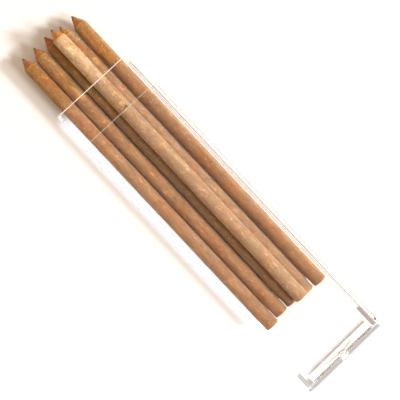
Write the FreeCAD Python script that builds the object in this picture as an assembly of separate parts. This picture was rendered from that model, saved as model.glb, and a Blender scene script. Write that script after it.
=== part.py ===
import FreeCAD
import Part
import math
import os

# A set of six blending stumps in a clear telescoping case, lying on a flat surface.
#
# The stumps are tight rolls of felted paper, pointed at one end and cut square at the other.
# Each is a wound core and one glued outer ply. Five lie side by side in the case and the
# fourth rides on top, in the groove between its neighbours.
# The case is two thin clear boxes, each open at its -X end. The inner case holds the stumps
# and the outer cover is pushed over the inner case's closed end.
#
# All sizes are in millimetres. +X runs from the stumps' points to the case's closed end,
# +Y across the row and +Z up. The origin is at the middle of the whole set's length and of the
# case's width, on the underside of the cover.

# Stumps
STUMP_DIAMETER = 6.2
PLY_THICKNESS = 0.25
CONE_LENGTH = 5.8
TIP_RADIUS = 0.4
BLUNT_EDGE_RADIUS = 0.35
WINDING_HOLE_DIAMETER = 0.9
WINDING_HOLE_DEPTH = 2.0

# Case: the inner case is sized by its hollow, and the cover by the inner case
HOLLOW_WIDTH = 34.8
HOLLOW_HEIGHT = 11.8
INNER_LENGTH = 147.9
INNER_WALL = 1.1
COVER_LENGTH = 132.85
COVER_WALL = 1.1
SLIDING_GAP = 0.15
OUTSIDE_CORNER_RADIUS = 1.0
INSIDE_CORNER_RADIUS = 0.5
VENT_DIAMETER = 4.0

# How the stumps lie
OVERALL_LENGTH = 179.25
RESTING_GAP = 0.1
FIRST_LAYER, SECOND_LAYER = 0, 1
# name: place across the case, layer, length, how far the square end is from the hollow's end
STUMPS = {
    "stump_1": (-12.7, FIRST_LAYER, 150.8, 25.7),
    "stump_2": (-6.35, FIRST_LAYER, 149.8, 26.9),
    "stump_3": (0.05, FIRST_LAYER, 150.0, 26.9),
    "stump_4": (3.78, SECOND_LAYER, 149.1, 26.7),
    "stump_5": (7.5, FIRST_LAYER, 150.1, 25.8),
    "stump_6": (14.15, FIRST_LAYER, 150.5, 25.3),
}

# Worked out from the sizes above
COVER_END_X = OVERALL_LENGTH / 2
INNER_END_X = COVER_END_X - COVER_WALL - SLIDING_GAP
HOLLOW_END_X = INNER_END_X - INNER_WALL
HOLLOW_FLOOR_Z = COVER_WALL + SLIDING_GAP + INNER_WALL
VENT_Z = HOLLOW_FLOOR_Z + HOLLOW_HEIGHT - VENT_DIAMETER / 2 - INSIDE_CORNER_RADIUS
STUMP_RADIUS = STUMP_DIAMETER / 2
FIRST_AXIS_Z = HOLLOW_FLOOR_Z + RESTING_GAP + STUMP_RADIUS
# The fourth stump touches both neighbours, so the three axes make an isosceles triangle.
GROOVE_HALF_WIDTH = (STUMPS["stump_5"][0] - STUMPS["stump_3"][0]) / 2
SECOND_AXIS_Z = FIRST_AXIS_Z + math.sqrt((STUMP_DIAMETER + RESTING_GAP) ** 2 - GROOVE_HALF_WIDTH**2)

X_AXIS = FreeCAD.Vector(1, 0, 0)
OVERSHOOT = 1.0


def rounded_bar(x_low, x_high, width, z_low, height, radius):
    """A bar along X with its long edges and its +X end's edges rounded."""
    corner = FreeCAD.Vector(x_low, -width / 2, z_low)
    bar = Part.makeBox(x_high - x_low, width, height, corner)
    mouth_edges = [edge for edge in bar.Edges if edge.BoundBox.XMax < x_low + OVERSHOOT / 2]
    kept = [edge.hashCode() for edge in mouth_edges]
    rounded = [edge for edge in bar.Edges if edge.hashCode() not in kept]
    return bar.makeFillet(radius, rounded)


def open_box(x_mouth, x_end, hollow_width, hollow_height, z_low, wall):
    """A box that is open at x_mouth, with a vent hole near the top of its closed end."""
    outside = rounded_bar(
        x_mouth, x_end, hollow_width + 2 * wall, z_low, hollow_height + 2 * wall, OUTSIDE_CORNER_RADIUS
    )
    hollow = rounded_bar(
        x_mouth - OVERSHOOT, x_end - wall, hollow_width, z_low + wall, hollow_height, INSIDE_CORNER_RADIUS
    )
    vent_start = FreeCAD.Vector(x_end - wall - OVERSHOOT, 0, VENT_Z)
    vent = Part.makeCylinder(VENT_DIAMETER / 2, wall + 2 * OVERSHOOT, vent_start, X_AXIS)
    return outside.cut(hollow).cut(vent)


def inner_case():
    return open_box(
        INNER_END_X - INNER_LENGTH,
        INNER_END_X,
        HOLLOW_WIDTH,
        HOLLOW_HEIGHT,
        COVER_WALL + SLIDING_GAP,
        INNER_WALL,
    )


def outer_cover():
    return open_box(
        COVER_END_X - COVER_LENGTH,
        COVER_END_X,
        HOLLOW_WIDTH + 2 * (INNER_WALL + SLIDING_GAP),
        HOLLOW_HEIGHT + 2 * (INNER_WALL + SLIDING_GAP),
        0,
        COVER_WALL,
    )


def whole_stump(x_end, y, z, length):
    """The ground and cut outside of one stump: blunted cone, shaft and eased square end."""
    half_angle = math.atan2(STUMP_RADIUS, CONE_LENGTH)
    # The blunt tip is a ball set into the cone so that the two meet without a ridge.
    ball_from_apex = TIP_RADIUS / math.sin(half_angle)
    x_tip = x_end - length
    x_apex = x_tip + TIP_RADIUS - ball_from_apex
    x_ball = x_tip + TIP_RADIUS
    contact = FreeCAD.Vector(
        x_ball - TIP_RADIUS * math.sin(half_angle), 0, TIP_RADIUS * math.cos(half_angle)
    )
    ball_middle_angle = (math.pi / 2 - half_angle) / 2
    on_ball = FreeCAD.Vector(
        x_ball - TIP_RADIUS * math.cos(ball_middle_angle), 0, TIP_RADIUS * math.sin(ball_middle_angle)
    )
    tip = FreeCAD.Vector(x_tip, 0, 0)
    shoulder = FreeCAD.Vector(x_apex + CONE_LENGTH, 0, STUMP_RADIUS)
    edge_start = FreeCAD.Vector(x_end - BLUNT_EDGE_RADIUS, 0, STUMP_RADIUS)
    edge_middle = FreeCAD.Vector(
        x_end - BLUNT_EDGE_RADIUS * (1 - math.sqrt(0.5)),
        0,
        STUMP_RADIUS - BLUNT_EDGE_RADIUS * (1 - math.sqrt(0.5)),
    )
    edge_end = FreeCAD.Vector(x_end, 0, STUMP_RADIUS - BLUNT_EDGE_RADIUS)
    end_centre = FreeCAD.Vector(x_end, 0, 0)
    outline = Part.Wire(
        [
            Part.Arc(tip, on_ball, contact).toShape(),
            Part.LineSegment(contact, shoulder).toShape(),
            Part.LineSegment(shoulder, edge_start).toShape(),
            Part.Arc(edge_start, edge_middle, edge_end).toShape(),
            Part.LineSegment(edge_end, end_centre).toShape(),
            Part.LineSegment(end_centre, tip).toShape(),
        ]
    )
    turned = Part.Face(outline).revolve(FreeCAD.Vector(0, 0, 0), X_AXIS, 360)
    turned.translate(FreeCAD.Vector(0, y, z))
    return turned


def stump_pieces(place, layer, length, distance_from_end):
    """The wound core, and the outer ply that is glued round it."""
    x_end = HOLLOW_END_X - distance_from_end
    z = SECOND_AXIS_Z if layer == SECOND_LAYER else FIRST_AXIS_Z
    stump = whole_stump(x_end, place, z, length)
    roll_start = FreeCAD.Vector(x_end - length - OVERSHOOT, place, z)
    roll = Part.makeCylinder(STUMP_RADIUS - PLY_THICKNESS, length + 2 * OVERSHOOT, roll_start, X_AXIS)
    hole_start = FreeCAD.Vector(x_end - WINDING_HOLE_DEPTH, place, z)
    hole = Part.makeCylinder(
        WINDING_HOLE_DIAMETER / 2, WINDING_HOLE_DEPTH + OVERSHOOT, hole_start, X_AXIS
    )
    return {"core": stump.common(roll).cut(hole), "wrap": stump.cut(roll)}


def write(name, shape):
    """One solid, checked and written as its own sub-part."""
    solid = shape.Solids[0]
    if len(shape.Solids) != 1 or not solid.isValid():
        raise ValueError(f"{name} isn't one valid solid")
    solid.exportStep(f"parts/{name}.step")
    box = solid.optimalBoundingBox()
    spans = [(box.XMin, box.XMax), (box.YMin, box.YMax), (box.ZMin, box.ZMax)]
    print(f"{name:14s} {solid.Volume:9.1f} mm3", *(f"{low:8.2f}..{high:7.2f}" for low, high in spans))


os.makedirs("parts", exist_ok=True)
write("outer_cover", outer_cover())
write("inner_case", inner_case())
for stump_name, lie in STUMPS.items():
    for piece_name, piece in stump_pieces(*lie).items():
        write(f"{stump_name}_{piece_name}", piece)
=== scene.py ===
import math

import bmesh
import bpy
import numpy as np
from mathutils import Matrix, Vector


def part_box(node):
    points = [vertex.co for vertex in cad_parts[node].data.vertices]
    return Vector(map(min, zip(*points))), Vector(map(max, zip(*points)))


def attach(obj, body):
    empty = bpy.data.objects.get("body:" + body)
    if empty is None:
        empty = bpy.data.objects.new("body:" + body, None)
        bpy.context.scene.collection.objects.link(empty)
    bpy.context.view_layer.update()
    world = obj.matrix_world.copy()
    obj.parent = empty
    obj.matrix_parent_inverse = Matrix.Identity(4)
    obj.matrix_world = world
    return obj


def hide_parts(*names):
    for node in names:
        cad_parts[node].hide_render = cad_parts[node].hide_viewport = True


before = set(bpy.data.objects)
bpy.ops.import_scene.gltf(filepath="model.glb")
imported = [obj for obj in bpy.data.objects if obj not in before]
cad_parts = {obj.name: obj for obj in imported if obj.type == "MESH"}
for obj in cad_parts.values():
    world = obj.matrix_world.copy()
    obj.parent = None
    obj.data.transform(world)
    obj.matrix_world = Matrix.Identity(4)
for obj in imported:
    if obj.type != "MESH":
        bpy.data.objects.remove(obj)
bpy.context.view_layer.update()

# Six paper blending stumps in a clear telescoping case. Lengths are in metres, and +X runs from
# the stumps' points to the case's closed end. Places come from the frame's nodes, and the sizes
# below repeat the design's.

MM = 0.001
TOLERANCE = 1e-9

# Stumps
TIP_RADIUS = 0.4 * MM
CONE_LENGTH = 5.8 * MM
BLUNT_EDGE_RADIUS = 0.35 * MM
WINDING_HOLE_RADIUS = 0.45 * MM
WINDING_HOLE_DEPTH = 2.0 * MM
PAPER_THICKNESS = 0.24 * MM
PLY_CLEARANCE = 0.01 * MM
LINING_MARGIN = 0.02 * MM
SHOULDER_ROUNDING = 0.5 * MM
SHOULDER_SHARE_ON_CONE = 0.6
BLUNT_EDGE_END_DEGREES = 18
LAP_STEP = 0.06 * MM
LAP_GAP_RADIANS = 0.02
# The laps are all on the underside.
LAP_SECTOR_DEGREES = (190, 330)
CONE_RIDGE = 0.022 * MM
END_GROOVE = 0.05 * MM
END_DISHING = 0.08 * MM
# Height, shortest wave, longest wave and number of waves of the paper's unevenness
CONE_DENTS = (0.035 * MM, 1.2 * MM, 7 * MM, 14)
SHAFT_DENTS = (0.02 * MM, 5 * MM, 60 * MM, 14)
SMALL_DENTS = (0.008 * MM, 1.5 * MM, 6 * MM, 20)
FIRST_RANDOM_SEED = 100

# How finely the stumps are divided
AROUND = 96
SHAFT_STEP = 0.6 * MM
CONE_STEP = 0.06 * MM
END_STEP = 0.035 * MM
HOLE_STEP = 0.4 * MM
HIDDEN_STEP = 8 * MM
TIP_POINTS = 7
EDGE_POINTS = 6

# Case
WALL = 1.1 * MM
OUTSIDE_CORNER = 1.0 * MM
INSIDE_CORNER = 0.5 * MM
LEAST_CORNER = 0.02 * MM
RIM_ROUNDING = 0.16 * MM
VENT_RADIUS = 2.0 * MM
CORNER_POINTS = 7
HOLLOW_CORNER_POINTS = 5
RIM_POINTS = 4
VENT_POINTS = 40
# Lower than polystyrene's, because with that the many thin faces of two boxes show as dark bands
PLASTIC_IOR = 1.12

# Camera, over the object
CAMERA_PLACE = (3.5 * MM, -13.2 * MM, 289.5 * MM)
CAMERA_TURN_DEGREES = (1.954, -2.065, 46.8)
CAMERA_LENS_MM = 61.88
SENSOR_MM = 36.0
NEAREST_SEEN = 0.01

# Lamps: two soft boxes beyond the closed end on the +Y side, and a weak strip over the -Y wall
# that lights only the floor inside it, as the real wall's reflection does
LAMP_WHITE = (0.96, 0.98, 1.0)
KEY_PLACE = (1.88, 1.46, 1.38)
KEY_SIZE = (0.52, 0.44)
KEY_WATTS = 88.0
FILL_PLACE = (1.74, 0.56, 1.38)
FILL_SIZE = (0.60, 0.48)
FILL_WATTS = 30.0
STRIP_BLUE = (0.70, 0.84, 1.0)
STRIP_PLACE = (15 * MM, -66.6 * MM, 190 * MM)
STRIP_TARGET = (15 * MM, -17.2 * MM, 0)
STRIP_SIZE = (150 * MM, 1.5 * MM)
STRIP_SPREAD_DEGREES = 3
STRIP_WATTS = 0.0033
# Light meets many faces of the two boxes on its way.
MOST_BOUNCES = 32

FLOOR_SIDE = 4.0
FLOOR_GAP = 0.05 * MM


def rgb(red, green, blue):
    return (red, green, blue, 1.0)


# The room's light: from its walls, from its ceiling, and what the eye sees of both
ROOM_WALLS = rgb(0.72, 0.54, 0.38)
ROOM_CEILING = rgb(0.47, 0.40, 0.33)
ROOM_SEEN = rgb(0.92, 0.92, 0.92)
# How far up, from 0 level to 1 overhead, the walls end and the ceiling starts
WALLS_END, CEILING_STARTS = 0.92, 0.95

# Colours of the painted shade in the plastic's grey zones at the closed end
SHADE_GREY = rgb(0.34, 0.36, 0.38)
SHADE_TAUPE = rgb(0.31, 0.28, 0.28)
SHADE_PALE = rgb(0.34, 0.34, 0.32)
SHADE_LILAC = rgb(0.56, 0.57, 0.62)

# Where a ply's colour changes from its front's to the rest's, near the case's mouth. The rest's
# colour
# is painted light: it stands in for the reflection and shade that the case's plastic lays over the
# paper.
TONE_CHANGE_X = -60.5 * MM
CONE_TONE = rgb(0.480, 0.200, 0.048)
# Each ply's colours before and after that place, how much larger its pink patches are, and its
# cone's colour. The colour after it holds painted reflection and shade. Some have a painted lit
# side, which is what the +Y side, toward the lamps, is multiplied by as a painted highlight, or
# painted shadow bands, which are the ends along X of bands of dark checks that paint the shadows of
# the case's mouth edges.
LOOKS = {
    "stump_1": {
        "front": rgb(0.279, 0.131, 0.040),
        "rest": rgb(0.315, 0.171, 0.088),
        "pink": 0.02,
        "cone": CONE_TONE,
    },
    "stump_2": {
        "front": rgb(0.299, 0.150, 0.052),
        "rest": rgb(0.302, 0.155, 0.070),
        "pink": 0.02,
        "cone": CONE_TONE,
    },
    "stump_3": {
        "front": rgb(0.212, 0.123, 0.041),
        "rest": rgb(0.231, 0.127, 0.051),
        "pink": 0.0,
        "cone": rgb(0.400, 0.140, 0.028),
    },
    "stump_4": {
        "front": rgb(0.515, 0.345, 0.197),
        "rest": rgb(0.372, 0.226, 0.126),
        "pink": 0.0,
        "cone": rgb(0.600, 0.270, 0.075),
        "painted_shadow_bands": [(-68 * MM, -65 * MM), (-46.5 * MM, -44.5 * MM)],
    },
    "stump_5": {
        "front": rgb(0.295, 0.165, 0.084),
        "rest": rgb(0.317, 0.182, 0.098),
        "pink": 0.06,
        "cone": rgb(0.600, 0.290, 0.075),
    },
    "stump_6": {
        "front": rgb(0.270, 0.133, 0.045),
        "rest": rgb(0.283, 0.145, 0.066),
        "pink": 0.02,
        "cone": CONE_TONE,
        "painted_lit_side": rgb(1.35, 1.55, 1.75),
    },
}

# A ply's patches: the noise's scale, its values where a patch starts and where it is full, how
# far the noise is shifted, and what the patch multiplies the colour by
PATCHES = {
    "golden": (230, 0.53, 0.66, 0.0, rgb(1.36, 1.46, 1.32)),
    "orange": (160, 0.50, 0.63, 0.7, rgb(1.10, 0.86, 0.58)),
    "pink": (290, 0.60, 0.69, 1.3, rgb(1.26, 1.06, 1.25)),
    "olive": (240, 0.58, 0.70, 1.9, rgb(0.74, 0.78, 0.62)),
}


# ---------------------------------------------------------------- shader helpers


class Graph:
    """Adds nodes to one material or world and links them."""

    def __init__(self, owner):
        owner.use_nodes = True
        self.tree = owner.node_tree
        self.tree.nodes.clear()

    def add(self, kind, inputs=None, **settings):
        made = self.tree.nodes.new("ShaderNode" + kind)
        for name, value in settings.items():
            setattr(made, name, value)
        for name, value in (inputs or {}).items():
            self.feed(made.inputs[name], value)
        return made

    def feed(self, socket, value):
        if isinstance(value, bpy.types.NodeSocket):
            self.tree.links.new(value, socket)
        else:
            socket.default_value = value

    def place(self):
        """Where a point of the object is, in its own coordinates."""
        return self.add("TexCoord").outputs["Object"]

    def axes(self, vector):
        return self.add("SeparateXYZ", {0: vector}).outputs

    def math(self, operation, first, second=0.0):
        return self.add("Math", {0: first, 1: second}, operation=operation).outputs[0]

    def noise(self, vector, scale, detail=2.0, roughness=0.5, distortion=0.0):
        inputs = {
            "Vector": vector,
            "Scale": scale,
            "Detail": detail,
            "Roughness": roughness,
            "Distortion": distortion,
        }
        return self.add("TexNoise", inputs).outputs["Fac"]

    def between(self, value, low, high, start=0.0, end=1.0):
        """value mapped from low..high to start..end, and held there beyond."""
        inputs = {"Value": value, "From Min": low, "From Max": high, "To Min": start, "To Max": end}
        return self.add("MapRange", inputs).outputs["Result"]

    def mix(self, share, first, second, blend="MIX"):
        made = self.add("Mix", data_type="RGBA", blend_type=blend)
        self.feed(made.inputs["Factor"], share)
        self.feed(made.inputs[6], first)
        self.feed(made.inputs[7], second)
        return made.outputs[2]

    def multiplied(self, share, colour, factor):
        """colour times factor, as far as share says."""
        return self.mix(share, colour, factor, "MULTIPLY")

    def mapped(self, vector, scale=(1, 1, 1), shift=(0, 0, 0), turn=(0, 0, 0)):
        inputs = {"Vector": vector, "Scale": scale, "Location": shift, "Rotation": turn}
        return self.add("Mapping", inputs).outputs[0]

    def bump(self, height, strength, distance):
        inputs = {"Strength": strength, "Distance": distance, "Height": height}
        return self.add("Bump", inputs).outputs[0]

    def surface(self, shader):
        self.feed(self.add("OutputMaterial").inputs["Surface"], shader)


def tinted(colour, red, green, blue):
    return (colour[0] * red, colour[1] * green, colour[2] * blue, 1.0)


# ---------------------------------------------------------------- paper


def winding_lines(g, place, stump):
    """0 to 1: how near a point is to the dark line between two turns of the rolled paper. The
    turns are those of winding_phase."""

    centred = g.axes(g.mapped(place, shift=(0, -stump.y, -stump.z)))
    squares = g.math("ADD", g.math("POWER", centred["Y"], 2.0), g.math("POWER", centred["Z"], 2.0))
    radius = g.math("SQRT", squares)
    turn = g.math("DIVIDE", g.math("ARCTAN2", centred["Z"], centred["Y"]), 2 * math.pi)
    phase = g.math("FRACT", g.math("SUBTRACT", g.math("DIVIDE", radius, PAPER_THICKNESS), turn))
    from_middle = g.math("ABSOLUTE", g.math("SUBTRACT", phase, 0.5))
    return g.between(from_middle, 0.36, 0.5)


def paper_surface(g, colour, height, bump, roughness):
    """Joins a colour and a height field into soft, unsized paper."""
    shader = g.add(
        "BsdfPrincipled",
        {
            "Base Color": colour,
            "Roughness": roughness,
            "Normal": g.bump(height, bump, 0.05 * MM),
            "Specular IOR Level": 0.25,
            "Sheen Weight": 0.12,
            "Sheen Roughness": 0.6,
        },
    )
    g.surface(shader.outputs[0])


def ply_paper(name, look, seed, stump):
    """The outer ply: mottled with patches, with slanting streaks, fibres, flecks and grit."""
    material = bpy.data.materials.new(name)
    g = Graph(material)
    place = g.place()
    own = g.mapped(place, shift=(seed * 0.37, seed * 0.11, seed * 0.23))
    unrolled = g.mapped(g.add("UVMap").outputs[0], shift=(seed * 0.37, 0, 0))
    axes = g.axes(place)
    along = axes["X"]

    # Painted light: past the case's mouth, the rest's colour and the weaker patches stand in for
    # the reflection and shade that the case's plastic lays over the paper.
    past_change = g.between(along, TONE_CHANGE_X - 4 * MM, TONE_CHANGE_X + 3 * MM)
    colour = g.mix(past_change, look["front"], look["rest"])
    patchiness = g.between(past_change, 0.0, 1.0, 1.0, 0.6)
    for kind, (scale, low, high, shift, factor) in PATCHES.items():
        larger = look["pink"] if kind == "pink" else 0.0
        patches = g.noise(g.mapped(own, (0.5, 1, 1), (shift, 0, 0)), scale, 2.5, 0.55, 0.7)
        share = g.between(patches, low - larger, high - larger, 0.0, 0.95)
        colour = g.multiplied(g.math("MULTIPLY", share, patchiness), colour, factor)

    streaks = g.noise(g.mapped(unrolled, (0.3, 1, 1), turn=(0, 0, 0.35)), 420, 3.0, 0.65, 0.4)
    fibres = g.noise(g.mapped(own, (0.6, 1, 1)), 700, 4.0, 0.75, 0.8)
    flecks = g.noise(g.mapped(own, (0.8, 1, 1), (0.9, 0, 0)), 850, 1.0, 0.5)
    grit = g.noise(own, 900, 2.0, 0.6)
    # Each is a noise, its values where its share is first and last, those shares, and a factor.
    for noise, low, high, first, last, factor in (
        (streaks, 0.35, 0.50, 0.4, 0.0, rgb(0.78, 0.72, 0.66)),
        (streaks, 0.52, 0.68, 0.0, 0.5, rgb(1.18, 1.20, 1.20)),
        (fibres, 0.52, 0.70, 0.0, 0.9, rgb(1.38, 1.36, 1.30)),
        (fibres, 0.32, 0.47, 0.9, 0.0, rgb(0.70, 0.62, 0.56)),
        (flecks, 0.64, 0.70, 0.0, 0.9, rgb(1.60, 1.50, 1.40)),
        (grit, 0.66, 0.74, 0.0, 0.8, rgb(0.45, 0.36, 0.30)),
    ):
        colour = g.multiplied(g.between(noise, low, high, first, last), colour, factor)

    # Painted highlight: the +Y side, which faces the lamps, is made paler.
    if "painted_lit_side" in look:
        side = g.between(axes["Y"], stump.y + 0.8 * MM, stump.y + 2.6 * MM)
        colour = g.multiplied(side, colour, look["painted_lit_side"])
    # Painted shadows of the case's mouth edges: bands of dark checks across the ply.
    for start, end in look.get("painted_shadow_bands", []):
        band = g.math(
            "MULTIPLY",
            g.between(along, start, start + 2 * MM),
            g.between(along, end, end + 2 * MM, 1.0, 0.0),
        )
        checks = g.noise(g.mapped(own, (1, 0.5, 0.5), turn=(0, 0, 0.5)), 800, 1.0, 0.4, 0.8)
        dark = g.math("MULTIPLY", band, g.between(checks, 0.60, 0.66))
        colour = g.multiplied(dark, colour, rgb(0.35, 0.26, 0.20))

    # Grinding leaves the ply's front edge feathered and browner.
    from_shoulder = g.math("SUBTRACT", along, stump.cone_x(stump.radius))
    ragged = g.math("MULTIPLY", g.math("SUBTRACT", g.noise(own, 520, 2.0), 0.5), 3.0 * MM)
    worn = g.between(g.math("ADD", from_shoulder, ragged), -0.1 * MM, 0.8 * MM, 0.9, 0.0)
    colour = g.mix(worn, colour, look["cone"])

    felt = g.noise(g.mapped(own, (0.5, 1, 1)), 1500, 4.0, 0.65, 0.8)
    height = g.math("ADD", felt, g.math("MULTIPLY", g.noise(own, 5200, 2.0), 0.4))
    paper_surface(g, colour, height, 0.7, g.between(felt, 0.3, 0.7, 0.78, 0.96))
    return material


def roll_paper(name, tone, seed, stump):
    """The ground end and the cut end of the roll: lines between its turns, and a smudged point."""
    material = bpy.data.materials.new(name)
    g = Graph(material)
    place = g.place()
    own = g.mapped(place, shift=(seed * 0.29, seed * 0.17, seed * 0.05))
    dark, pale = tinted(tone, 0.72, 0.68, 0.64), tinted(tone, 1.25, 1.25, 1.3)
    colour = g.mix(g.between(g.noise(own, 620, 3.0, 0.6, 0.5), 0.38, 0.64), dark, pale)
    grit = g.between(g.noise(own, 2600, 3.0, 0.65), 0.52, 0.72, 0.0, 0.6)
    colour = g.mix(grit, colour, tinted(tone, 0.52, 0.46, 0.42))
    lines = winding_lines(g, place, stump)
    colour = g.mix(g.math("MULTIPLY", lines, 0.55), colour, tinted(tone, 0.42, 0.36, 0.32))

    ragged = g.math("MULTIPLY", g.noise(own, 900, 2.0), 1.4 * MM)
    from_tip = g.math("SUBTRACT", g.math("SUBTRACT", g.axes(place)["X"], stump.tip_x), ragged)
    smudge = g.between(from_tip, -0.3 * MM, 1.0 * MM, 0.75, 0.0)
    colour = g.mix(smudge, colour, rgb(0.075, 0.06, 0.04))

    felt = g.noise(own, 2400, 4.0, 0.7, 0.6)
    height = g.math("SUBTRACT", felt, g.math("MULTIPLY", lines, 0.7))
    paper_surface(g, colour, height, 0.6, g.between(felt, 0.3, 0.7, 0.82, 0.98))
    return material


# ---------------------------------------------------------------- plastic and floor


def lets_light_through(g, shader, colour):
    """Glass to the eye, and clear to light from lamps and from matt surfaces, as thin walls are."""
    path = g.add("LightPath").outputs
    clear = g.add("BsdfTransparent", {"Color": colour}).outputs[0]
    for kind in ("Is Diffuse Ray", "Is Shadow Ray"):
        mixed = g.add("MixShader")
        g.feed(mixed.inputs[0], path[kind])
        g.feed(mixed.inputs[1], shader)
        g.feed(mixed.inputs[2], clear)
        shader = mixed.outputs[0]
    g.surface(shader)


def zone_share(g, axes, low, high, softness):
    """1 between two corners, falling to 0 over the softness beyond them. None is no limit."""
    share = 1.0
    for axis, least, most, soft in zip("XYZ", low, high, softness):
        if least is not None:
            rise = g.between(axes[axis], least - soft, least)
            share = g.math("MULTIPLY", rise, share)
        if most is not None:
            fall = g.between(axes[axis], most, most + soft, 1.0, 0.0)
            share = g.math("MULTIPLY", fall, share)
    return share


def clear_plastic(name, seed, zones):
    """Polished clear polystyrene, with the faint waves and hair scratches of a moulded box. Each
    zone is (low corner, high corner, softness, colour), and in it the plastic is painted with that
    colour and made less clear: painted shade."""

    material = bpy.data.materials.new(name)
    g = Graph(material)
    place = g.place()
    axes = g.axes(place)
    own = g.mapped(place, shift=(seed, seed * 0.4, 0))

    colour, clearness = rgb(0.99, 0.99, 0.99), 1.0
    # Painted shade: each zone's colour goes into the plastic, and its clearness is taken away
    # there.
    for *limits, tint in zones:
        share = zone_share(g, axes, *limits)
        colour = g.mix(share, colour, tint)
        clearness = g.math("MULTIPLY", g.math("SUBTRACT", 1.0, share), clearness)

    waves = g.noise(g.mapped(own, (0.5, 1, 1)), 60, 1.0, 0.4)
    hairs = g.noise(g.mapped(own, (0.06, 1, 1), turn=(0, 0, 0.3)), 3500, 1.0, 0.5)
    # The end wall is never rubbed, so the scratches stop before it.
    rubbed = g.between(axes["X"], 80 * MM, 85 * MM, 1.0, 0.0)
    scratches = g.math("MULTIPLY", g.between(hairs, 0.7, 0.8), rubbed)
    height = g.math("ADD", waves, g.math("MULTIPLY", scratches, 0.02))
    glass = g.add(
        "BsdfPrincipled",
        {
            "Base Color": colour,
            "Roughness": g.between(scratches, 0.0, 1.0, 0.02, 0.12),
            "Transmission Weight": clearness,
            "IOR": PLASTIC_IOR,
            "Normal": g.bump(height, 0.01, 0.3 * MM),
        },
    )
    lets_light_through(g, glass.outputs[0], rgb(0.996, 0.996, 0.996))
    return material


def frosted_rim(name, transmission, least_roughness):
    """The cut edge at a mouth, which scatters light."""
    material = bpy.data.materials.new(name)
    g = Graph(material)
    grain = g.noise(g.place(), 2500, 2.0, 0.6)
    glass = g.add(
        "BsdfPrincipled",
        {
            "Base Color": g.mix(grain, rgb(0.95, 0.88, 0.78), rgb(1, 0.97, 0.92)),
            "Roughness": g.between(grain, 0.3, 0.7, least_roughness, least_roughness + 0.15),
            "Transmission Weight": transmission,
            "IOR": PLASTIC_IOR,
            "Normal": g.bump(grain, 0.3, 0.05 * MM),
        },
    )
    lets_light_through(g, glass.outputs[0], rgb(0.98, 0.98, 0.98))
    return material


def floor_paint(name):
    material = bpy.data.materials.new(name)
    g = Graph(material)
    grain = g.noise(g.place(), 900, 2.0, 0.5)
    paint = g.add(
        "BsdfPrincipled",
        {
            "Base Color": g.mix(grain, rgb(0.79, 0.79, 0.795), rgb(0.83, 0.83, 0.835)),
            "Roughness": 0.9,
            "Specular IOR Level": 0.1,
            "Normal": g.bump(grain, 0.05, 0.05 * MM),
        },
    )
    g.surface(paint.outputs[0])
    return material


# ---------------------------------------------------------------- mesh helpers


def add_object(name, mesh, materials):
    """Puts a finished mesh into the scene, smooth shaded."""
    for material in materials:
        mesh.materials.append(material)
    mesh.shade_smooth()
    made = bpy.data.objects.new(name, mesh)
    bpy.context.scene.collection.objects.link(made)
    return made


def turn_faces_outward(mesh):
    skin = bmesh.new()
    skin.from_mesh(mesh)
    bmesh.ops.recalc_face_normals(skin, faces=skin.faces)
    skin.to_mesh(mesh)
    skin.free()


def unroll(mesh, stump):
    """Adds a UV map in metres: U is the length along X, and V the way round at the surface."""
    layer = mesh.uv_layers.new(name="Unrolled")
    places = np.empty(len(mesh.vertices) * 3)
    mesh.vertices.foreach_get("co", places)
    x, y, z = places.reshape(-1, 3).T
    y, z = y - stump.y, z - stump.z
    radius = float(np.hypot(y, z).max())
    corners = np.empty(len(mesh.loops), dtype=np.int32)
    mesh.loops.foreach_get("vertex_index", corners)
    flat = np.stack([x, np.arctan2(z, y) * radius], axis=1)[corners]
    starts = np.empty(len(mesh.polygons), dtype=np.int32)
    totals = np.empty(len(mesh.polygons), dtype=np.int32)
    mesh.polygons.foreach_get("loop_start", starts)
    mesh.polygons.foreach_get("loop_total", totals)
    face_of_corner = np.repeat(np.arange(len(starts)), totals)
    highest = np.maximum.reduceat(flat[:, 1], starts)
    # A face that crosses the seam of the angle would otherwise hold the whole way round.
    behind = highest[face_of_corner] - flat[:, 1] > math.pi * radius
    flat[behind, 1] += 2 * math.pi * radius
    layer.data.foreach_set("uv", flat.ravel())


def lathe(name, profile, stump, angles, shape, material):
    """A skin turned about a stump's axis. profile holds (x, radius) pairs: it starts and ends on
    the axis, or else it is a loop. shape(x, radius, angle) returns the x and the radius that the
    points there really have."""

    stations = np.array(profile)
    on_axis = stations[:, 1] == 0
    rings = stations[~on_axis]
    around = len(angles)
    angle = np.tile(angles, len(rings))
    x, radius = shape(np.repeat(rings[:, 0], around), np.repeat(rings[:, 1], around), angle)
    y, z = stump.y + radius * np.cos(angle), stump.z + radius * np.sin(angle)
    points = np.stack([x, y, z], axis=1)

    is_loop = not on_axis.any()
    ring_starts = [i * around for i in range(len(rings))]
    neighbours = list(zip(ring_starts, ring_starts[1:]))
    if is_loop:
        neighbours.append((ring_starts[-1], ring_starts[0]))
    steps = [(j, (j + 1) % around) for j in range(around)]
    faces = [
        (this + j, this + k, following + k, following + j)
        for this, following in neighbours
        for j, k in steps
    ]
    if not is_loop:
        first_pole, last_pole = len(points), len(points) + 1
        poles = [(pole_x, stump.y, stump.z) for pole_x in stations[on_axis, 0]]
        points = np.concatenate([points, poles])
        for j, k in steps:
            faces.append((first_pole, k, j))
            faces.append((ring_starts[-1] + j, ring_starts[-1] + k, last_pole))

    mesh = bpy.data.meshes.new(name)
    mesh.from_pydata(points.tolist(), [], faces)
    mesh.update()
    turn_faces_outward(mesh)
    unroll(mesh, stump)
    return add_object(name, mesh, [material])


def arc(centre, radius, start_degrees, end_degrees, count):
    """Points (x, radius) on an arc, from the +X direction towards the outside."""
    turns = np.radians(np.linspace(start_degrees, end_degrees, count))
    return [(centre[0] + radius * math.cos(t), centre[1] + radius * math.sin(t)) for t in turns]


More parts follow.
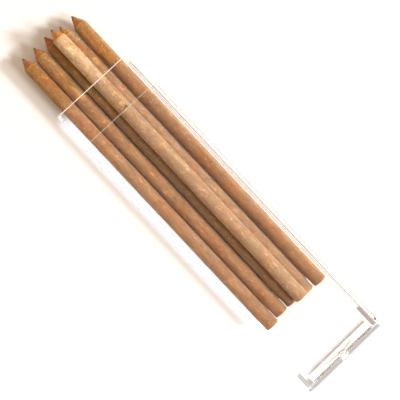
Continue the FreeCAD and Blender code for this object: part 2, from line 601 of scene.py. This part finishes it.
def spaced(start, end, step):
    """Values from start to end, about a step apart."""
    return np.linspace(start, end, max(2, int(round(abs(end - start) / step)) + 1))


# ---------------------------------------------------------------- stumps


class Stump:
    """Where one stump lies, read from its CAD nodes."""

    def __init__(self, name):
        core_low, core_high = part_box(name + "_core")
        wrap_low, wrap_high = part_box(name + "_wrap")
        self.name = name
        self.y = (wrap_low[1] + wrap_high[1]) / 2
        self.z = (wrap_low[2] + wrap_high[2]) / 2
        self.radius = (wrap_high[2] - wrap_low[2]) / 2
        self.core_radius = (core_high[2] - core_low[2]) / 2
        self.tip_x = core_low[0]
        self.end_x = core_high[0]
        self.half_angle = math.atan2(self.radius, CONE_LENGTH)
        self.apex_x = self.tip_x + TIP_RADIUS - TIP_RADIUS / math.sin(self.half_angle)

    def cone_x(self, radius):
        return self.apex_x + radius / math.tan(self.half_angle)


def dents(rng, height, shortest, longest, count):
    """Gentle unevenness of a hand-rolled shaft: waves that close up round it, none above 0."""
    lengths = rng.uniform(shortest, longest, count)
    lobes = rng.integers(0, 5, count)
    phases = rng.uniform(0, 2 * math.pi, count)

    def depth(x, angle):
        total = sum(
            np.sin(2 * math.pi * x / length + lobe * angle + phase)
            for length, lobe, phase in zip(lengths, lobes, phases)
        )
        return height * (total / count**0.5 / 2).clip(-1, 1) - height

    return depth


def winding_phase(radius, angle):
    """0 to 1 across each turn of the rolled paper, outward."""
    return (radius / PAPER_THICKNESS - angle / (2 * math.pi)) % 1.0


def make_roll(stump, rng, material):
    """The core: ground cone, and the cut end with its turns of paper and winding hole."""
    inside = stump.core_radius - PLY_CLEARANCE
    half_degrees = math.degrees(stump.half_angle)
    tip = arc((stump.tip_x + TIP_RADIUS, 0), TIP_RADIUS, 180, 90 + half_degrees, TIP_POINTS)
    cone_radii = spaced(tip[-1][1], inside, CONE_STEP * math.tan(stump.half_angle))
    cone = [(stump.cone_x(radius), radius) for radius in cone_radii[1:]]
    shaft = [(x, inside) for x in spaced(cone[-1][0], stump.end_x, HIDDEN_STEP)[1:]]
    end_radii = spaced(inside, WINDING_HOLE_RADIUS, END_STEP)
    end = [(stump.end_x, radius) for radius in end_radii[1:]]
    hole_depths = spaced(0, WINDING_HOLE_DEPTH, HOLE_STEP)
    hole = [(stump.end_x - depth, WINDING_HOLE_RADIUS) for depth in hole_depths[1:]]
    hole_floor = (stump.end_x - WINDING_HOLE_DEPTH, 0)
    profile = [(stump.tip_x, 0), *tip[1:], *cone, *shaft, *end, *hole, hole_floor]
    uneven = dents(rng, *CONE_DENTS)

    def shape(x, radius, angle):
        phase = winding_phase(radius, angle)
        on_cone = (x < stump.cone_x(inside) - TOLERANCE) & (radius > TIP_RADIUS / 2)
        on_end = (x > stump.end_x - TOLERANCE) & (radius < inside - TOLERANCE)
        moved = radius + np.where(on_cone, uneven(x, angle) - CONE_RIDGE * phase, 0)
        groove = END_GROOVE * (np.abs(phase - 0.5) * 2) ** 4
        dishing = END_DISHING * (1 - (radius / inside)) ** 2
        return x - np.where(on_end, groove, 0) - np.where(on_end, dishing, 0), moved

    angles = np.linspace(0, 2 * math.pi, AROUND, endpoint=False)
    return lathe(stump.name + "_roll", profile, stump, angles, shape, material)


def make_ply(stump, rng, material):
    """The outer ply: one turn of paper whose end laps over its start."""
    inside = stump.core_radius
    front_x, shoulder_x = stump.cone_x(inside), stump.cone_x(stump.radius)
    shoulder = Vector((shoulder_x, stump.radius))
    to_front = (Vector((front_x, inside)) - shoulder).normalized()
    before = shoulder + to_front * SHOULDER_ROUNDING * SHOULDER_SHARE_ON_CONE
    after = Vector((shoulder_x + SHOULDER_ROUNDING, stump.radius))
    rounded = [
        tuple(before * (1 - t) ** 2 + shoulder * 2 * t * (1 - t) + after * t**2)
        for t in np.linspace(0, 1, EDGE_POINTS)
    ]
    back = stump.end_x - BLUNT_EDGE_RADIUS
    shaft = [(x, stump.radius) for x in spaced(after[0], back, SHAFT_STEP)[1:]]
    edge_centre = (back, stump.radius - BLUNT_EDGE_RADIUS)
    edge = arc(edge_centre, BLUNT_EDGE_RADIUS, 90, BLUNT_EDGE_END_DEGREES, EDGE_POINTS)[1:]
    lining = [(x, inside) for x in spaced(edge[-1][0], front_x, HIDDEN_STEP)]
    profile = [*rounded, *shaft, *edge, *lining]
    uneven = dents(rng, *SHAFT_DENTS)
    rough = dents(rng, *SMALL_DENTS)
    lap_angle = rng.uniform(*(math.radians(limit) for limit in LAP_SECTOR_DEGREES))

    def shape(x, radius, angle):
        from_lap = angle - lap_angle
        lap = LAP_STEP * from_lap / (2 * math.pi)
        depth = uneven(x, from_lap) + rough(x, from_lap) - lap
        outer = radius > inside + LINING_MARGIN
        return x, radius + np.where(outer, depth, 0)

    angles = np.linspace(0, 2 * math.pi - LAP_GAP_RADIANS, AROUND) + lap_angle
    return lathe(stump.name + "_ply", profile, stump, angles, shape, material)


def make_stumps():
    for index, (name, look) in enumerate(LOOKS.items()):
        stump = Stump(name)
        rng = np.random.default_rng(FIRST_RANDOM_SEED + index)
        seed = index + 1.0
        ply_material = ply_paper(name + "_ply_paper", look, seed, stump)
        roll_material = roll_paper(name + "_roll_paper", look["cone"], seed, stump)
        roll = make_roll(stump, rng, roll_material)
        ply = make_ply(stump, rng, ply_material)
        for piece, node, finish in ((roll, "_core", "rolled_paper"), (ply, "_wrap", "outer_ply")):
            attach(piece, name)
            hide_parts(name + node)


# ---------------------------------------------------------------- case


def rounded_rectangle(half_y, half_z, middle_z, corner):
    """Points round a rectangle in the YZ plane, with the same number for any size."""
    points = []
    for k, (side_y, side_z) in enumerate(((1, 1), (-1, 1), (-1, -1), (1, -1))):
        centre_y, centre_z = side_y * (half_y - corner), middle_z + side_z * (half_z - corner)
        for t in np.radians(np.linspace(90 * k, 90 * k + 90, CORNER_POINTS)):
            points.append((centre_y + corner * math.cos(t), centre_z + corner * math.sin(t)))
    return points


def quarter_turn(radius, count):
    """(how far along, how far in) at points round a corner."""
    turns = np.radians(np.linspace(0, 90, count))
    return [(radius * math.sin(t), radius * (1 - math.cos(t))) for t in turns]


def wall_stations(mouth, end):
    """A case wall from outside the closed end, round the mouth, to the hollow's end. Each station
    is (x, how far in from the outside, corner radius there). Also the steps that are the rim."""

    outside = [
        (end - OUTSIDE_CORNER + along, inward, max(OUTSIDE_CORNER - inward, LEAST_CORNER))
        for along, inward in quarter_turn(OUTSIDE_CORNER, CORNER_POINTS)
    ]
    rim_out = [
        (mouth + RIM_ROUNDING - along, inward, OUTSIDE_CORNER - inward)
        for along, inward in quarter_turn(RIM_ROUNDING, RIM_POINTS)
    ]
    rim_in = [(x, WALL - inward, INSIDE_CORNER + inward) for x, inward, _ in rim_out]
    hollow_end = end - WALL - INSIDE_CORNER
    hollow = [
        (hollow_end + along, WALL + inward, max(INSIDE_CORNER - inward, LEAST_CORNER))
        for along, inward in quarter_turn(INSIDE_CORNER, HOLLOW_CORNER_POINTS)
    ]
    rim_first = len(outside)
    rim_last = rim_first + len(rim_out) + len(rim_in) - 1
    stations = [*reversed(outside), *rim_out, *reversed(rim_in), *hollow]
    return stations, range(rim_first, rim_last)


def closed_pairs(points):
    """Each point with the next, and the last with the first."""
    return list(zip(points, points[1:] + points[:1]))


def bridge(skin, loop, following):
    """Joins two loops with a ring of faces."""
    return [
        skin.faces.new((a, b, d, c))
        for (a, b), (c, d) in zip(closed_pairs(loop), closed_pairs(following))
    ]


def vent_height():
    """The vents of both boxes are level, under the inner case's rounded top corner."""
    low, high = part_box("inner_case")
    return high[2] - WALL - INSIDE_CORNER - VENT_RADIUS


def make_shell(name, node, plastic, rim):
    """A clear box, open at -X, with rounded corners, a rounded mouth and a vent in its end."""
    low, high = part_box(node)
    middle_z = (low[2] + high[2]) / 2
    half_y, half_z = (high[1] - low[1]) / 2, (high[2] - low[2]) / 2
    stations, rim_steps = wall_stations(low[0], high[0])

    skin = bmesh.new()
    loops = []
    for x, inward, corner in stations:
        ring = rounded_rectangle(half_y - inward, half_z - inward, middle_z, corner)
        loops.append([skin.verts.new((x, y, z)) for y, z in ring])
    for i, (loop, following) in enumerate(zip(loops, loops[1:])):
        for face in bridge(skin, loop, following):
            face.material_index = int(i in rim_steps)

    vent_z = vent_height()
    turns = [2 * math.pi * i / VENT_POINTS for i in range(VENT_POINTS)]
    vent_outline = [(VENT_RADIUS * math.cos(t), vent_z + VENT_RADIUS * math.sin(t)) for t in turns]
    vent_rings = []
    for x, loop in ((high[0], loops[0]), (high[0] - WALL, loops[-1])):
        ring = [skin.verts.new((x, y, z)) for y, z in vent_outline]
        sides = [skin.edges.new(pair) for pair in closed_pairs(ring)]
        sides += [skin.edges.get(pair) for pair in closed_pairs(loop)]
        bmesh.ops.triangle_fill(skin, edges=sides, use_beauty=True)
        vent_rings.append(ring)
    bridge(skin, *vent_rings)
    bmesh.ops.recalc_face_normals(skin, faces=skin.faces)

    mesh = bpy.data.meshes.new(name)
    skin.to_mesh(mesh)
    skin.free()
    shell = add_object(name, mesh, [plastic, rim])
    weighted = shell.modifiers.new("flat panels", "WEIGHTED_NORMAL")
    weighted.weight = 100
    weighted.keep_sharp = True
    return shell


def cover_painted_shade():
    """Painted shade on the cover: grey on the top of its end wall, on both sides of its vent, and
    on its -Y wall there.
    """
    low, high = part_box("outer_cover")
    top = high[2] - WALL
    fine = 0.15 * MM
    even, long = (fine, fine, fine), (3 * MM, fine, fine)
    return [
        ((87.9 * MM, low[1], top), (89.35 * MM, -VENT_RADIUS, None), even, SHADE_GREY),
        ((87.9 * MM, VENT_RADIUS, top), (89.35 * MM, 18 * MM, None), even, SHADE_GREY),
        ((81 * MM, -19.4 * MM, top), (86.6 * MM, -17.8 * MM, None), long, SHADE_PALE),
        ((85.5 * MM, -17.8 * MM, top), (86.6 * MM, -16.4 * MM, None), long, SHADE_PALE),
    ]


def case_painted_shade():
    """Painted shade on the case: a pale line at the far end of its floor, and grey on the top of
    its +Y wall there.
    """
    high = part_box("inner_case")[1]
    top, hollow_end = high[2] - WALL, high[0] - WALL
    fine = 0.15 * MM
    return [
        (
            (86.4 * MM, -16 * MM, None),
            (88.2 * MM, 16.4 * MM, 2.4 * MM),
            (0.4 * MM, fine, fine),
            SHADE_LILAC,
        ),
        (
            (78.2 * MM, 16.5 * MM, top),
            (hollow_end, 18.2 * MM, None),
            (1 * MM, fine, fine),
            SHADE_TAUPE,
        ),
    ]


def make_case():
    cover = make_shell(
        "cover_shell",
        "outer_cover",
        clear_plastic("cover_shell_plastic", 0.3, cover_painted_shade()),
        frosted_rim("cover_shell_rim", 0.85, 0.2),
    )
    case = make_shell(
        "case_shell",
        "inner_case",
        clear_plastic("case_shell_plastic", 0.7, case_painted_shade()),
        frosted_rim("case_shell_rim", 0.5, 0.3),
    )
    for shell, body, node, finish in (
        (cover, "cover", "outer_cover", "cover_plastic"),
        (case, "case", "inner_case", "case_plastic"),
    ):
        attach(shell, body)
        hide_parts(node)


# ---------------------------------------------------------------- stage


def make_camera():
    data = bpy.data.cameras.new("camera")
    data.sensor_width = SENSOR_MM
    data.lens = CAMERA_LENS_MM
    data.clip_start = NEAREST_SEEN
    camera = bpy.data.objects.new("camera", data)
    camera.location = CAMERA_PLACE
    camera.rotation_euler = [math.radians(turn) for turn in CAMERA_TURN_DEGREES]
    bpy.context.scene.collection.objects.link(camera)
    bpy.context.scene.camera = camera


def make_floor():
    half = FLOOR_SIDE / 2
    corners = [(-half, -half), (half, -half), (half, half), (-half, half)]
    mesh = bpy.data.meshes.new("floor")
    mesh.from_pydata([(x, y, -FLOOR_GAP) for x, y in corners], [], [(0, 1, 2, 3)])
    mesh.update()
    add_object("floor", mesh, [floor_paint("floor_paint")])


def make_sky():
    """A warm room, with a dimmer ceiling straight overhead, that looks pale in itself."""
    world = bpy.data.worlds.new("sky")
    bpy.context.scene.world = world
    g = Graph(world)
    up = g.axes(g.add("TexCoord").outputs["Generated"])["Z"]
    colour = g.mix(g.between(up, WALLS_END, CEILING_STARTS), ROOM_WALLS, ROOM_CEILING)
    path = g.add("LightPath").outputs
    seen = g.math("MAXIMUM", path["Is Camera Ray"], path["Is Transmission Ray"])
    seen = g.math("MAXIMUM", seen, path["Is Glossy Ray"])
    colour = g.mix(seen, colour, ROOM_SEEN)
    background = g.add("Background", {"Color": colour, "Strength": 1.0})
    g.feed(g.add("OutputWorld").inputs["Surface"], background.outputs[0])


def make_lamp(name, place, target, long_side, size, watts, colour):
    """A rectangular soft box at place that faces target, with its first side along long_side."""
    lamp = bpy.data.lights.new(name, "AREA")
    lamp.shape = "RECTANGLE"
    lamp.size, lamp.size_y = size
    lamp.energy = watts
    lamp.color = colour
    holder = bpy.data.objects.new(name, lamp)
    holder.location = place
    back = (Vector(place) - Vector(target)).normalized()
    side = (Vector(long_side) - back * back.dot(Vector(long_side))).normalized()
    holder.rotation_euler = Matrix((side, back.cross(side), back)).transposed().to_euler()
    bpy.context.scene.collection.objects.link(holder)
    return lamp


def make_lights():
    middle, along_x, along_y = (0, 0, 0), (1, 0, 0), (0, 1, 0)
    make_lamp("key_box", KEY_PLACE, middle, along_y, KEY_SIZE, KEY_WATTS, LAMP_WHITE)
    make_lamp("fill_box", FILL_PLACE, middle, along_y, FILL_SIZE, FILL_WATTS, LAMP_WHITE)
    strip = make_lamp(
        "strip_box", STRIP_PLACE, STRIP_TARGET, along_x, STRIP_SIZE, STRIP_WATTS, STRIP_BLUE
    )
    strip.spread = math.radians(STRIP_SPREAD_DEGREES)


def set_light_rules():
    scene = bpy.context.scene
    scene.view_settings.view_transform = "Standard"
    scene.cycles.max_bounces = MOST_BOUNCES
    scene.cycles.transmission_bounces = MOST_BOUNCES
    scene.cycles.transparent_max_bounces = MOST_BOUNCES
    # Without the tree the weak strip lamp is sampled as often as the key.
    scene.cycles.use_light_tree = False


make_camera()
make_floor()
make_sky()
make_lights()
set_light_rules()
make_stumps()
make_case()
